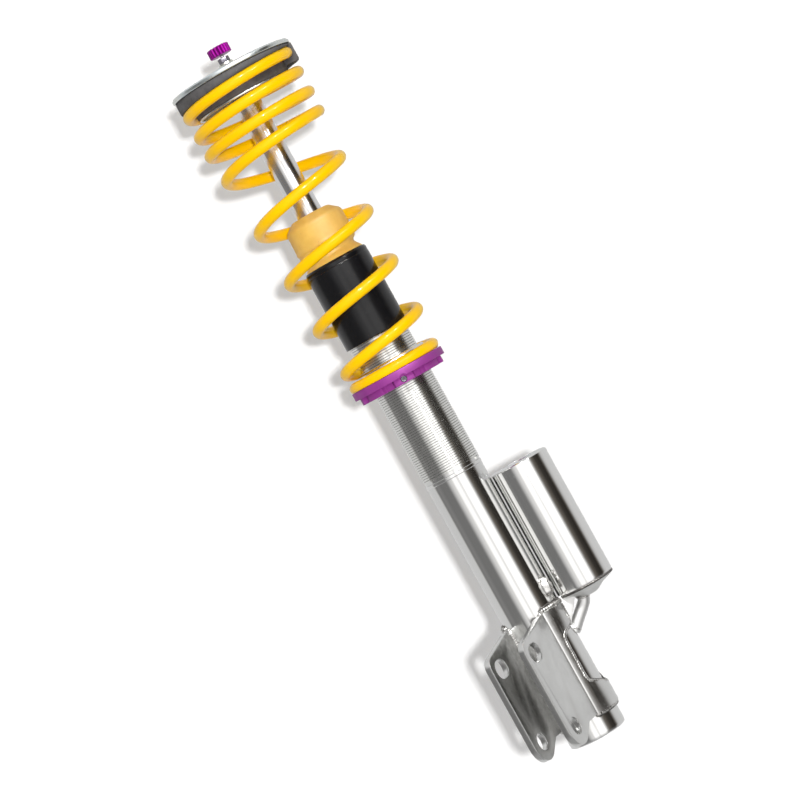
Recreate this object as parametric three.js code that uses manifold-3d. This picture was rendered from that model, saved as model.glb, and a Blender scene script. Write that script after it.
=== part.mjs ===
// MacPherson strut coilover with an external reservoir, in millimetres.
// +Z runs up the piston rod, and the origin is the centre of the housing's bottom face.
// The knuckle bracket's ears reach towards -Y, and the reservoir stands beside the housing.
import * as THREE from 'three';
import { mergeVertices } from 'three/addons/utils/BufferGeometryUtils.js';
import Module from 'manifold-3d';

const wasm = await Module();
wasm.setup();

// Driving dimensions
const GAP = 0.3;                 // clearance between two pieces that rest on each other
const TUBE_R = 24.6;             // housing, plain lower half
const THREAD_R = 25;             // housing, M50 x 2 threaded upper half
const TUBE_BORE_R = 21.8;
const TUBE_TOP = 418;
const THREAD_START = 242.6;
const RESERVOIR_R = 24.6;
const RESERVOIR_BORE_R = 21.6;
const RESERVOIR_BOTTOM = 112;
const RESERVOIR_TOP = 223.4;
const RESERVOIR_DISTANCE = 49.8; // between the two tubes' axes
const RESERVOIR_ANGLE = 28;      // degrees from +X
const EAR_INNER_X = 13.8;        // half of the gap that takes the knuckle
const EAR_THICKNESS = 5.6;
const EAR_REACH = 77.7;          // from the strut's axis to the ears' front edges
const BOLT_REACH = 62;           // from the strut's axis to both bolt holes
const LOWER_BOLT_Z = 23.5;
const UPPER_BOLT_Z = 89.1;
const SADDLE_R = 28.2;
const SADDLE_BOTTOM = 18.3;
const SADDLE_TOP = 109.4;
const ROD_R = 10.9;
const ROD_BOTTOM = 344;
const ROD_SHOULDER = 603;
const ROD_TOP = 615.2;
const PLATE_R = 52.8;
const PLATE_BOTTOM = 604.6;
const PLATE_TOP = 608.5;
const HUB_R = 41.5;              // centring hub of the rubber isolator
const HUB_BOTTOM = 584.5;
const WIRE_R = 4.7;              // spring wire
const SEAT_Z = 334.5;            // ground face of the spring's last turn
const COLLAR_TOP = 334.2;
const COLLAR_R = 40.5;
const LUG_R = 36.7;              // castellated lower half of the collar
const SCREW_ANGLE = -59;         // degrees from +X, centre of the lug that holds the set screw

// The spring's centre line, from the blunt upper end down: turns wound, coil radius, height.
// Three close turns lie on top, wide turns below them, and the last turn closes and is ground.
const COIL = [
  [0.02, 47.4, 598.0],
  [1, 47.4, 580.8],
  [2, 47.4, 562.9],
  [3, 46.8, 545.8],
  [3.5, 45.4, 530.6],
  [4, 44.0, 505.6],
  [5, 42.2, 457.4],
  [6, 40.4, 412.9],
  [7, 38.7, 369.3],
  [7.6, 36.6, 347.0],
  [8, 35.8, 338.9],
  [8.6, 35.8, 336.9],
];

const steel = (colour, roughness) =>
  new THREE.MeshStandardMaterial({ color: colour, roughness, metalness: 1 });
const plain = (colour, roughness) =>
  new THREE.MeshStandardMaterial({ color: colour, roughness, metalness: 0 });

const materials = {
  polishedSteel: steel(0xc9c9c7, 0.22),
  satinSteel: steel(0xb8b8b6, 0.38),
  chrome: steel(0xdcdcdc, 0.08),
  zinc: steel(0xb9bfbe, 0.3),
  darkSteel: steel(0x6a6a6c, 0.45),
  purple: steel(0x8c2f94, 0.35),
  magenta: steel(0xa512ad, 0.3),
  aluminium: steel(0xc4c6c8, 0.35),
  springYellow: plain(0xf7b800, 0.25),
  rubber: plain(0x3c3a3d, 0.75),
  foam: plain(0xe3b468, 0.7),
  sleeve: plain(0x141416, 0.35),
  seal: plain(0x1c1c1e, 0.6),
};

const degrees = THREE.MathUtils.degToRad;
const object = new THREE.Group();

function outward(geometry) {
  // Turns a closed shape's faces round where they point inwards.
  const p = geometry.attributes.position;
  const index = geometry.index.array;
  const a = new THREE.Vector3();
  const b = new THREE.Vector3();
  const c = new THREE.Vector3();
  let volume = 0;
  for (let i = 0; i < index.length; i += 3) {
    a.fromBufferAttribute(p, index[i]);
    b.fromBufferAttribute(p, index[i + 1]);
    c.fromBufferAttribute(p, index[i + 2]);
    volume += a.dot(b.cross(c));
  }
  if (volume < 0) {
    index.reverse();
  }
  return geometry;
}

function merged(geometry) {
  // One closed mesh: shared vertices joined, and triangles of no area dropped.
  const bare = geometry.clone();
  bare.deleteAttribute('normal');
  bare.deleteAttribute('uv');
  const joined = mergeVertices(bare, 1e-4);
  const kept = [];
  const index = joined.index.array;
  for (let i = 0; i < index.length; i += 3) {
    const [a, b, c] = [index[i], index[i + 1], index[i + 2]];
    if (a !== b && b !== c && c !== a) {
      kept.push(a, b, c);
    }
  }
  joined.setIndex(kept);
  return outward(joined);
}

function solid(geometry) {
  const joined = merged(geometry);
  return new wasm.Manifold(new wasm.Mesh({
    numProp: 3,
    vertProperties: new Float32Array(joined.attributes.position.array),
    triVerts: new Uint32Array(joined.index.array),
  }));
}

function geometryOf(manifold) {
  const mesh = manifold.getMesh();
  const geometry = new THREE.BufferGeometry();
  geometry.setAttribute('position', new THREE.BufferAttribute(mesh.vertProperties, 3));
  geometry.setIndex(Array.from(mesh.triVerts));
  return geometry;
}

function add(name, shape, material) {
  const geometry = shape.isBufferGeometry ? merged(shape) : geometryOf(shape);
  geometry.computeVertexNormals();
  const mesh = new THREE.Mesh(geometry, material);
  mesh.name = name;
  object.add(mesh);
}

function turned(profile, segments = 32) {
  // A turned piece about Z from [radius, height] points, closed on itself or on the axis.
  const points = profile.map(([r, z]) => new THREE.Vector2(r, z));
  const open = points[0].x > 0 || points[points.length - 1].x > 0;
  if (open) {
    points.push(points[0].clone());
  }
  return new THREE.LatheGeometry(points, segments).rotateX(Math.PI / 2);
}

function ring(inner, outer, bottom, top, segments = 32) {
  return turned([[inner, bottom], [outer, bottom], [outer, top], [inner, top]], segments);
}

function disc(radius, bottom, top, segments = 32) {
  return turned([[0, bottom], [radius, bottom], [radius, top], [0, top]], segments);
}

function prism(shape, bottom, top, curveSegments = 10) {
  const settings = { depth: top - bottom, bevelEnabled: false, curveSegments };
  return new THREE.ExtrudeGeometry(shape, settings).translate(0, 0, bottom);
}

function sector(inner, outer, from, to, bottom, top, curveSegments = 24) {
  const shape = new THREE.Shape();
  shape.absarc(0, 0, outer, degrees(from), degrees(to), false);
  shape.absarc(0, 0, inner, degrees(to), degrees(from), true);
  return prism(shape, bottom, top, curveSegments);
}

function besideHousing(geometry) {
  // Moves a shape made about the Z axis on to the reservoir's axis.
  const angle = degrees(RESERVOIR_ANGLE);
  const x = RESERVOIR_DISTANCE * Math.cos(angle);
  const y = RESERVOIR_DISTANCE * Math.sin(angle);
  return geometry.translate(x, y, 0);
}

// Housing: one tube, rolled thread on its upper half, closed by a plug at the foot.
const wall = TUBE_BORE_R;
add('housing_tube', turned([
  [wall, 0], [23.2, 0], [24.1, 0.9], [TUBE_R, 3.6], [TUBE_R, 238.2], [24.9, 238.7], [24.9, 241],
  [24.2, 241.3], [24.2, 242.3], [THREAD_R, THREAD_START], [THREAD_R, TUBE_TOP - 0.8],
  [24.2, TUBE_TOP], [wall, TUBE_TOP],
], 40), materials.polishedSteel);
add('bottom_plug', disc(wall - GAP, 0, 12, 24), materials.polishedSteel);

// Damper internals inside the housing
const PRESSURE_TUBE_R = 18;      // bore in which the piston works
add('base_valve', turned([
  [0, 12.3], [14, 12.3], [14, 16], [19.5, 16], [19.5, 22], [PRESSURE_TUBE_R - GAP, 22],
  [PRESSURE_TUBE_R - GAP, 30], [0, 30],
], 24), materials.darkSteel);
add('pressure_tube', ring(PRESSURE_TUBE_R, 19.5, 22.3, 395.7, 24), materials.satinSteel);
add('rod_guide', turned([
  [11.3, 390], [17.6, 390], [17.6, 396], [21.4, 396], [21.4, 408], [11.3, 408],
], 20), materials.aluminium);
add('rod_seal', ring(11.3, 21, 408.3, 412.3, 16), materials.seal);
add('gland_nut', turned([
  [11.4, 412.6], [21.4, 412.6], [21.4, 418.3], [24.4, 418.3], [24.4, 423.5], [14.4, 423.5],
  [14.4, 419], [11.4, 419],
], 24), materials.darkSteel);
add('rod_wiper', ring(11.3, 14.1, 419.3, 425, 16), materials.seal);

// Reservoir: tube, top cap, closed conical base, and a floating divider piston.
add('reservoir_tube', besideHousing(turned([
  [RESERVOIR_BORE_R, RESERVOIR_BOTTOM], [RESERVOIR_R, RESERVOIR_BOTTOM],
  [RESERVOIR_R, RESERVOIR_TOP - 0.9], [RESERVOIR_R - 0.9, RESERVOIR_TOP],
  [RESERVOIR_BORE_R, RESERVOIR_TOP],
], 40)), materials.polishedSteel);
add('reservoir_cap', besideHousing(disc(RESERVOIR_BORE_R - GAP, 208, 223, 24)), materials.aluminium);
add('reservoir_base', besideHousing(turned([
  [0, 102.6], [9, 102.6], [11, 103], [23.2, 110.4], [24.2, 111.7], [21.3, 111.7], [21.3, 118],
  [18, 118], [0, 112],
], 24)), materials.satinSteel);
add('divider_piston', besideHousing(turned([
  [0, 135], [21, 135], [21, 140], [19.4, 140], [19.4, 144], [21, 144], [21, 149], [15, 149],
  [15, 141], [0, 141],
], 20)), materials.aluminium);
add('divider_ring', besideHousing(ring(19.8, 21.2, 140.3, 143.7, 20)), materials.seal);

// Knuckle bracket: a saddle round the housing's back, and two ears that clamp the knuckle.
const OIL_PIPE_R = 5.1;
const OIL_PIPE_TOP = [44.5, 102];  // distance from the strut's axis, height
const OIL_PIPE_FOOT = [20, 79.8];

function radialPoint([distance, height]) {
  const angle = degrees(RESERVOIR_ANGLE);
  return new THREE.Vector3(distance * Math.cos(angle), distance * Math.sin(angle), height);
}

function oilPipe(radius) {
  const path = new THREE.LineCurve3(radialPoint(OIL_PIPE_TOP), radialPoint(OIL_PIPE_FOOT));
  const section = new THREE.Shape().absarc(0, 0, radius, 0, 2 * Math.PI);
  const settings = { extrudePath: path, steps: 1, curveSegments: 6, bevelEnabled: false };
  return solid(new THREE.ExtrudeGeometry(section, settings));
}

// The saddle stops level with the ears' inner faces, and each ear butts on to it from the front.
const innerSaddle = TUBE_R + GAP;
const outerEar = EAR_INNER_X + EAR_THICKNESS;
const saddleSlot = new THREE.BoxGeometry(2 * EAR_INNER_X, 40, 120).translate(0, -20, 60);
const lowWindow = sector(20, 35, -34, 62, 41, 88, 12);
const highWindow = sector(20, 35, 2, 62, 36, 120, 12);
const saddle = solid(sector(innerSaddle, SADDLE_R, -60, 240, SADDLE_BOTTOM, SADDLE_TOP, 40))
  .subtract(solid(saddleSlot))
  .subtract(solid(lowWindow))
  .subtract(solid(highWindow));
add('bracket_saddle', saddle, materials.satinSteel);

const BOLT_HOLE_R = 7.3;
const BOLT_SLOT_R = 7.7;
const BOLT_SLOT_TRAVEL = 2.3;    // each way, for setting the wheel's camber

function earOutline() {
  // Seen from the side: x is the distance in front of the strut's axis, y is the height.
  const lobe = EAR_REACH - BOLT_REACH;
  const outline = new THREE.Shape();
  outline.moveTo(12, SADDLE_BOTTOM + 0.2);
  outline.lineTo(38.6, SADDLE_BOTTOM + 0.2);
  outline.absarc(BOLT_REACH, LOWER_BOLT_Z, lobe, degrees(241), 2 * Math.PI, false);
  outline.lineTo(EAR_REACH, 93);
  outline.quadraticCurveTo(EAR_REACH, 101, 68, 102.2);
  outline.lineTo(28, SADDLE_TOP);
  outline.lineTo(12, SADDLE_TOP);
  const slot = new THREE.Path();
  const [front, rear] = [BOLT_REACH + BOLT_SLOT_TRAVEL, BOLT_REACH - BOLT_SLOT_TRAVEL];
  slot.absarc(front, UPPER_BOLT_Z, BOLT_SLOT_R, degrees(-90), degrees(90), false);
  slot.absarc(rear, UPPER_BOLT_Z, BOLT_SLOT_R, degrees(90), degrees(270), false);
  const round = new THREE.Path().absarc(BOLT_REACH, LOWER_BOLT_Z, BOLT_HOLE_R, 0, 2 * Math.PI);
  outline.holes.push(slot, round);
  return outline;
}

function ear(side) {
  // Stands the outline up in the YZ plane, outer face away from the gap, cut to the saddle.
  const plate = prism(earOutline(), 0, EAR_THICKNESS, 8);
  const turn = new THREE.Matrix4().makeBasis(
    new THREE.Vector3(0, -1, 0), new THREE.Vector3(0, 0, 1), new THREE.Vector3(-1, 0, 0));
  plate.applyMatrix4(turn);
  plate.translate(side > 0 ? outerEar : -EAR_INNER_X, 0, 0);
  return solid(plate).subtract(solid(disc(SADDLE_R + GAP, 0, 130, 60)));
}

add('ear_right', ear(1), materials.satinSteel);
add('ear_left', ear(-1), materials.satinSteel);

const baseEnvelope = besideHousing(turned([
  [0, 102.3], [9, 102.3], [11.2, 102.7], [23.6, 110.1], [RESERVOIR_R + GAP, 111.7],
  [RESERVOIR_R + GAP, 130], [0, 130],
], 40));
const tubeEnvelope = disc(THREAD_R, 40, 130, 48);
const pipe = oilPipe(OIL_PIPE_R).subtract(solid(tubeEnvelope)).subtract(solid(baseEnvelope));
add('oil_pipe', pipe, materials.satinSteel);

// The gusset is a flat plate just in front of the pipe, from the housing to the reservoir's base.
const GUSSET_FRONT = 8.4;
const GUSSET_BACK = OIL_PIPE_R + GAP;
const gussetOutline = new THREE.Shape([
  new THREE.Vector2(20, 84), new THREE.Vector2(25.4, 91.4), new THREE.Vector2(37.1, 107.4),
  new THREE.Vector2(25.3, 113.4), new THREE.Vector2(20, 113.4),
]);
const gussetPlate = prism(gussetOutline, GUSSET_BACK, GUSSET_FRONT);
gussetPlate.rotateX(Math.PI / 2).rotateZ(degrees(RESERVOIR_ANGLE));
const gusset = solid(gussetPlate).subtract(solid(tubeEnvelope)).subtract(solid(baseEnvelope));
add('pipe_gusset', gusset, materials.satinSteel);

// Weld plug that ties the reservoir to the housing in the valley between the two tubes.
const plugBlank = new THREE.SphereGeometry(1, 16, 10).scale(6.2, 6.4, 8.4);
plugBlank.translate(20.6, -13.2, 126).rotateZ(degrees(RESERVOIR_ANGLE));
const reservoirEnvelope = besideHousing(disc(RESERVOIR_R + GAP, 100, 150, 40));
const weldPlug = solid(plugBlank)
  .subtract(solid(disc(TUBE_R + GAP, 100, 150, 48)))
  .subtract(solid(reservoirEnvelope));
add('weld_plug', weldPlug, materials.satinSteel);

// Adjustable lower perch: threaded collar with its set screw, and the centring ring above it.
const collarBore = THREAD_R + GAP;
const lugBottom = 322.2;
const flangeBottom = 327.8;
const LUGS = 8;
const NOTCH_WIDTH = 11.5;
let collar = solid(turned([
  [collarBore, lugBottom], [LUG_R - 0.5, lugBottom], [LUG_R, lugBottom + 0.5],
  [LUG_R, flangeBottom], [COLLAR_R - 0.5, flangeBottom], [COLLAR_R, flangeBottom + 0.5],
  [COLLAR_R, COLLAR_TOP - 0.6], [COLLAR_R - 0.6, COLLAR_TOP], [collarBore, COLLAR_TOP],
], 48));
for (let k = 0; k < LUGS; k += 1) {
  const notch = new THREE.BoxGeometry(8, NOTCH_WIDTH, flangeBottom - lugBottom + 1);
  notch.translate(LUG_R, 0, (lugBottom + flangeBottom - 1) / 2);
  notch.rotateZ(degrees(SCREW_ANGLE + (k + 0.5) * 360 / LUGS));
  collar = collar.subtract(solid(notch));
}
const SCREW_Z = 325.6;
const SCREW_R = 2.5;
const SOCKET_R = 1.45;

function radialBar(radius, from, to, sides) {
  // A bar along the set screw's line, between two distances from the strut's axis.
  const bar = new THREE.CylinderGeometry(radius, radius, to - from, sides).rotateZ(Math.PI / 2);
  return bar.translate((from + to) / 2, 0, SCREW_Z).rotateZ(degrees(SCREW_ANGLE));
}

const screwHole = radialBar(SCREW_R + GAP, 25, 41, 20);
add('perch_collar', collar.subtract(solid(screwHole)), materials.purple);
const screw = solid(radialBar(SCREW_R, 25.7, 36.3, 20)).subtract(solid(radialBar(SOCKET_R, 34, 40, 6)));
add('set_screw', screw, materials.chrome);

add('centring_ring', turned([
  [collarBore, SEAT_Z], [30, SEAT_Z], [30, 343.6], [29.2, 344.4], [collarBore, 344.4],
], 40), materials.polishedSteel);

// Coil spring
function between(stations, t, column) {
  // A smooth curve through the stations, with slopes taken from each one's neighbours.
  const last = stations.length - 1;
  let i = 0;
  while (i < last - 1 && t > stations[i + 1][0]) {
    i += 1;
  }
  const slope = (k) => {
    const [low, high] = [Math.max(k - 1, 0), Math.min(k + 1, last)];
    return (stations[high][column] - stations[low][column]) / (stations[high][0] - stations[low][0]);
  };
  const width = stations[i + 1][0] - stations[i][0];
  const s = (t - stations[i][0]) / width;
  const rise = stations[i + 1][column] - stations[i][column];
  const a = slope(i) * width - rise;
  const b = rise - slope(i + 1) * width;
  return stations[i][column] + s * rise + s * (1 - s) * (a * (1 - s) + b * s);
}

function coilAngle(turns) {
  return degrees(RESERVOIR_ANGLE) - 2 * Math.PI * turns;
}

class CoilLine extends THREE.Curve {
  constructor() {
    super();
    this.firstTurn = COIL[0][0];
    this.lastTurn = COIL[COIL.length - 1][0];
    this.arcLengthDivisions = 2000;
  }

  getPoint(t, target = new THREE.Vector3()) {
    const turns = THREE.MathUtils.lerp(this.firstTurn, this.lastTurn, t);
    const radius = between(COIL, turns, 1);
    const angle = coilAngle(turns);
    return target.set(radius * Math.cos(angle), radius * Math.sin(angle), between(COIL, turns, 2));
  }
}

const wireSection = new THREE.Shape().absarc(0, 0, WIRE_R, 0, 2 * Math.PI);
const wire = new THREE.ExtrudeGeometry(wireSection, {
  extrudePath: new CoilLine(),
  steps: 144,
  curveSegments: 4,
  bevelEnabled: false,
});
const groundOff = new THREE.BoxGeometry(120, 120, 20).translate(0, 0, SEAT_Z - 10);
add('coil_spring', solid(wire).subtract(solid(groundOff)), materials.springYellow);

// Dust sleeve and foam bump stop, which sit on the gland nut
add('dust_sleeve', turned([
  [25.6, 366.2], [27.3, 366.2], [27.3, 433.2], [26.5, 435.2], [25.6, 435.2],
], 32), materials.sleeve);
add('bump_stop', turned([
  [11.6, 426], [24.6, 426], [25.1, 428], [25.1, 436], [22, 440], [21, 442.4], [22.6, 445],
  [24.4, 446], [25.3, 450.8], [24.4, 469.5], [16, 476.8], [11.6, 476.8],
], 24), materials.foam);

// Upper seat: pressed plate, rubber isolator whose underside follows the spring, inner cup.
add('upper_plate', turned([
  [5.4, ROD_TOP], [6, ROD_TOP], [9.6, 612.2], [22, 610.4], [38, PLATE_TOP],
  [PLATE_R - 0.9, PLATE_TOP], [PLATE_R, PLATE_TOP - 0.9], [PLATE_R, PLATE_BOTTOM],
  [36, PLATE_BOTTOM], [12, 607.6], [5.4, 607.6],
], 40), materials.zinc);
add('inner_cup', turned([
  [38.4, 582.4], [HUB_R - 1, 582.4], [HUB_R - 1, HUB_BOTTOM - GAP],
  [40, HUB_BOTTOM - GAP], [40, 604.3], [38.4, 604.3],
], 40), materials.zinc);

const ISOLATOR_R = 51.4;
const STOP_R = 53.4;
const ISOLATOR_FLOOR = 589.2;

function isolatorSection(turns, beyondWireEnd) {
  // The rubber's section at one place round the ring: flange on the wire, hub inside it.
  const wireTop = between(COIL, Math.max(turns, COIL[0][0]), 2) + WIRE_R + GAP;
  const under = beyondWireEnd ? ISOLATOR_FLOOR : Math.max(wireTop, ISOLATOR_FLOOR);
  const outer = beyondWireEnd ? STOP_R : ISOLATOR_R;
  const top = PLATE_BOTTOM - GAP;
  const inner = HUB_R - 1.2;
  return [
    [inner, top], [outer, top], [outer, under], [HUB_R + 0.1, under], [HUB_R, HUB_BOTTOM],
    [inner, HUB_BOTTOM],
  ];
}

function isolator() {
  const stations = [];
  const steps = 44;
  for (let i = 0; i < steps; i += 1) {
    const turns = 0.02 + 0.94 * i / (steps - 1);
    stations.push([turns, isolatorSection(turns, false)]);
  }
  stations.push([0.965, isolatorSection(1, true)]);
  stations.push([0.99, isolatorSection(1, true)]);
  stations.push([1.015, isolatorSection(1, true)]);
  const count = stations[0][1].length;
  const positions = [];
  const index = [];
  stations.forEach(([turns, section], i) => {
    const angle = coilAngle(turns);
    section.forEach(([r, z], j) => {
      positions.push(r * Math.cos(angle), r * Math.sin(angle), z);
      const next = (i + 1) % stations.length;
      const k = (j + 1) % count;
      const [a, b, c, d] = [i * count + j, next * count + j, next * count + k, i * count + k];
      index.push(a, b, c, a, c, d);
    });
  });
  const geometry = new THREE.BufferGeometry();
  geometry.setAttribute('position', new THREE.Float32BufferAttribute(positions, 3));
  geometry.setIndex(index);
  return geometry;
}

add('spring_isolator', isolator(), materials.rubber);

// Piston rod with the piston on its shank
add('piston_rod', turned([
  [2.2, 306], [6, 306], [6, ROD_BOTTOM], [ROD_R - 0.5, ROD_BOTTOM], [ROD_R, ROD_BOTTOM + 0.5],
  [ROD_R, ROD_SHOULDER], [5, ROD_SHOULDER + 2], [5, ROD_TOP], [2.2, ROD_TOP],
], 24), materials.chrome);
add('rebound_stop', ring(6.4, 16, 339, 343.7, 16), materials.seal);
add('rebound_shims', ring(6.4, 14.5, 336.4, 338.7, 16), materials.darkSteel);
add('damper_piston', turned([
  [6.4, 322], [17.3, 322], [17.3, 325.7], [16, 325.7], [16, 332.3], [17.3, 332.3],
  [17.3, 336.1], [6.4, 336.1],
], 20), materials.aluminium);
add('piston_band', ring(16.4, 17.4, 326, 332, 20), materials.seal);
add('compression_shims', ring(6.4, 14.5, 319.4, 321.7, 16), materials.darkSteel);
const nutCorners = [0, 60, 120, 180, 240, 300].map((turn) =>
  new THREE.Vector2(10.4 * Math.cos(degrees(turn)), 10.4 * Math.sin(degrees(turn))));
const nutShape = new THREE.Shape(nutCorners);
nutShape.holes.push(new THREE.Path().absarc(0, 0, 6.4, 0, 2 * Math.PI));
add('piston_nut', prism(nutShape, 311, 319.1, 8), materials.darkSteel);

// Rebound adjuster: hexagon on the rod's tip, needle down the rod's bore, fluted hand knob.
const HEXAGON_BOTTOM = 615.5;
const HEXAGON_HEIGHT = 4.1;
const hexagon = new THREE.CylinderGeometry(4.9, 4.9, HEXAGON_HEIGHT, 6).rotateX(Math.PI / 2);
hexagon.translate(0, 0, HEXAGON_BOTTOM + HEXAGON_HEIGHT / 2).rotateZ(degrees(-62));
const stemHole = disc(2.1, 600, 640, 16);
add('adjuster_hexagon', solid(hexagon).subtract(solid(stemHole)), materials.darkSteel);
add('adjuster_needle', turned([
  [0, 309], [0.4, 309], [1.6, 316], [1.6, 621.5], [0, 621.5],
], 12), materials.chrome);

const FLUTES = 16;
const FLUTE_DEPTH = 0.9;
const KNOB_R = 9.4;
const KNOB_BOTTOM = 621.8;
const KNOB_TOP = 629.4;
const knobPoints = [];
const pointsPerFlute = 5;
for (let i = 0; i < FLUTES * pointsPerFlute; i += 1) {
  const angle = 2 * Math.PI * i / (FLUTES * pointsPerFlute);
  const flute = Math.abs(Math.sin(FLUTES * angle / 2));
  const radius = KNOB_R - FLUTE_DEPTH * (1 - flute);
  knobPoints.push(new THREE.Vector2(radius * Math.cos(angle), radius * Math.sin(angle)));
}
const knob = prism(new THREE.Shape(knobPoints), KNOB_BOTTOM, KNOB_TOP);
add('adjuster_knob', knob, materials.magenta);

export default object;
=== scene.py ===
import math

import bmesh
import bpy
from mathutils import Matrix, Vector


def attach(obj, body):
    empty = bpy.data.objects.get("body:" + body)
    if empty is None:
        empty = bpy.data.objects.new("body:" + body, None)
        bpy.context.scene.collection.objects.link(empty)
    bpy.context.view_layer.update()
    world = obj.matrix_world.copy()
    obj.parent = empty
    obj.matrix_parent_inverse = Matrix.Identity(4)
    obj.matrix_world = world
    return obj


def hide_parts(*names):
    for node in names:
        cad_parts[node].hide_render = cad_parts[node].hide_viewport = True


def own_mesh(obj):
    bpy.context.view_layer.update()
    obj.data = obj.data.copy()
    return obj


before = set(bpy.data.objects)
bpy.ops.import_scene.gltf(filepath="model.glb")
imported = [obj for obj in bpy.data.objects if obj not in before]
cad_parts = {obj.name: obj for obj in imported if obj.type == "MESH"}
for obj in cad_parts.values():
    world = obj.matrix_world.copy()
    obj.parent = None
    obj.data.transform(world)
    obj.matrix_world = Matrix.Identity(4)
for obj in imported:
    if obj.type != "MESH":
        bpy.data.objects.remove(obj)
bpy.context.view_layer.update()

# ---- Housing tube ----
# One drawn steel tube, ground and polished, with an M50 x 2 thread rolled on its upper
# half. The foot is closed by a plug and its edge is turned round.
MM = 0.001
TUBE_R = 24.6
THREAD_R = 25.0
THREAD_ROOT_R = 24.4
THREAD_PITCH = 2.0
THREAD_START = 242.6
TUBE_TOP = 418.0


def turned(profile, steps=96, rounding=0.0, closed=True, at=(0, 0)):
    """A turned blank: the profile's [radius, height] points, corners eased, spun about Z."""
    bm = bmesh.new()
    points = [bm.verts.new((r * MM, 0, z * MM)) for r, z in profile]
    pairs = list(zip(points, points[1:]))
    if closed and profile[0][0] > 0:
        pairs.append((points[-1], points[0]))
    for a, b in pairs:
        bm.edges.new((a, b))
    if rounding:
        corners = [v for v in bm.verts if v.co.x > 0 and len(v.link_edges) == 2]
        bmesh.ops.bevel(bm, geom=corners, offset=rounding * MM, affect="VERTICES", segments=3,
                        profile=0.5, material=-1)
    bmesh.ops.spin(bm, geom=bm.verts[:] + bm.edges[:], cent=(0, 0, 0), axis=(0, 0, 1),
                   dvec=(0, 0, 0), angle=2 * math.pi, steps=steps, use_merge=True)
    bmesh.ops.remove_doubles(bm, verts=bm.verts[:], dist=2e-6)
    bmesh.ops.recalc_face_normals(bm, faces=bm.faces[:])
    bmesh.ops.translate(bm, verts=bm.verts[:], vec=(at[0] * MM, at[1] * MM, 0))
    return bm


def into_scene(name, data):
    """Makes an object of a mesh, a camera or a lamp and adds it to the scene."""
    made = bpy.data.objects.new(name, data)
    bpy.context.scene.collection.objects.link(made)
    return made


def mesh_of(bm, name):
    """Turns a finished blank into a mesh."""
    mesh = bpy.data.meshes.new(name)
    bm.to_mesh(mesh)
    bm.free()
    return mesh


def smooth(mesh, sharp=32):
    """Shades a mesh smooth, but for the edges that turn by more than the angle."""
    mesh.shade_smooth()
    mesh.set_sharp_from_angle(angle=math.radians(sharp))


def piece(bm, name, body, material, stands_for=(), sharp=32):
    """Makes the finished blank an object, rides it on its body and gives it its finish."""
    mesh = mesh_of(bm, name)
    mesh.materials.append(material)
    smooth(mesh, sharp)
    made = into_scene(name, mesh)
    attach(made, body)
    if stands_for:
        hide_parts(*stands_for)
    return made


def finish(name, colour, metallic, roughness):
    """A plain finish to build on: its material, its node tree and its main shader."""
    material = bpy.data.materials.new(name)
    material.use_nodes = True
    main = material.node_tree.nodes["Principled BSDF"]
    main.inputs["Base Color"].default_value = (*colour, 1)
    main.inputs["Metallic"].default_value = metallic
    main.inputs["Roughness"].default_value = roughness
    return material, material.node_tree, main


def place(tree, kind, values=(), **settings):
    """Puts one node in the tree; values are numbers, colours or the sockets that feed it."""
    made = tree.nodes.new(kind)
    for key, value in settings.items():
        setattr(made, key, value)
    for key, value in dict(values).items():
        if isinstance(value, bpy.types.NodeSocket):
            tree.links.new(value, made.inputs[key])
        else:
            made.inputs[key].default_value = value
    return made


def new_group(name, inputs, outputs):
    """An effect that several finishes share, with its own named inputs and outputs."""
    group = bpy.data.node_groups.new(name, "ShaderNodeTree")
    for key, value in inputs.items():
        socket = group.interface.new_socket(key, in_out="INPUT", socket_type="NodeSocketFloat")
        socket.default_value = value
    for key in outputs:
        group.interface.new_socket(key, in_out="OUTPUT", socket_type="NodeSocketFloat")
    return group, place(group, "NodeGroupInput"), place(group, "NodeGroupOutput")


def object_space(tree):
    """The piece's own coordinates, in metres from the strut's foot."""
    return place(tree, "ShaderNodeTexCoord").outputs["Object"]


def noise(tree, scale, detail=3.0, roughness=0.55, vector=None):
    """Soft noise over the piece's own space, or over the vector that it is given."""
    space = object_space(tree) if vector is None else vector
    return place(tree, "ShaderNodeTexNoise", {
        "Vector": space, "Scale": scale, "Detail": detail, "Roughness": roughness}).outputs["Fac"]


def maths(tree, operation, *values):
    """One sum on values, each of them a number or a socket."""
    return place(tree, "ShaderNodeMath", dict(enumerate(values)), operation=operation).outputs[0]


def spread(tree, value, low, high, to_low=0.0, to_high=1.0):
    """Stretches the part of a value between low and high over a new range."""
    return place(tree, "ShaderNodeMapRange", {
        "Value": value, "From Min": low, "From Max": high, "To Min": to_low, "To Max": to_high,
    }).outputs["Result"]


def tool_marks():
    """Marks left by a tool or belt: noise stretched by its scale across and along the strut."""
    group, given, out = new_group("tool marks", {"Across": 8.0, "Along": 900.0}, ["Mark", "Tone"])
    stretch = place(group, "ShaderNodeCombineXYZ", {
        "X": given.outputs["Across"], "Y": given.outputs["Across"], "Z": given.outputs["Along"]})
    stretched = place(group, "ShaderNodeVectorMath",
                      {0: object_space(group), 1: stretch.outputs[0]}, operation="MULTIPLY").outputs[0]
    fine = noise(group, 1.0, 4.0, vector=stretched)
    broad = noise(group, 0.13, 2.0, vector=stretched)
    group.links.new(spread(group, fine, 0.3, 0.7), out.inputs["Mark"])
    group.links.new(spread(group, broad, 0.35, 0.65), out.inputs["Tone"])
    return group


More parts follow.
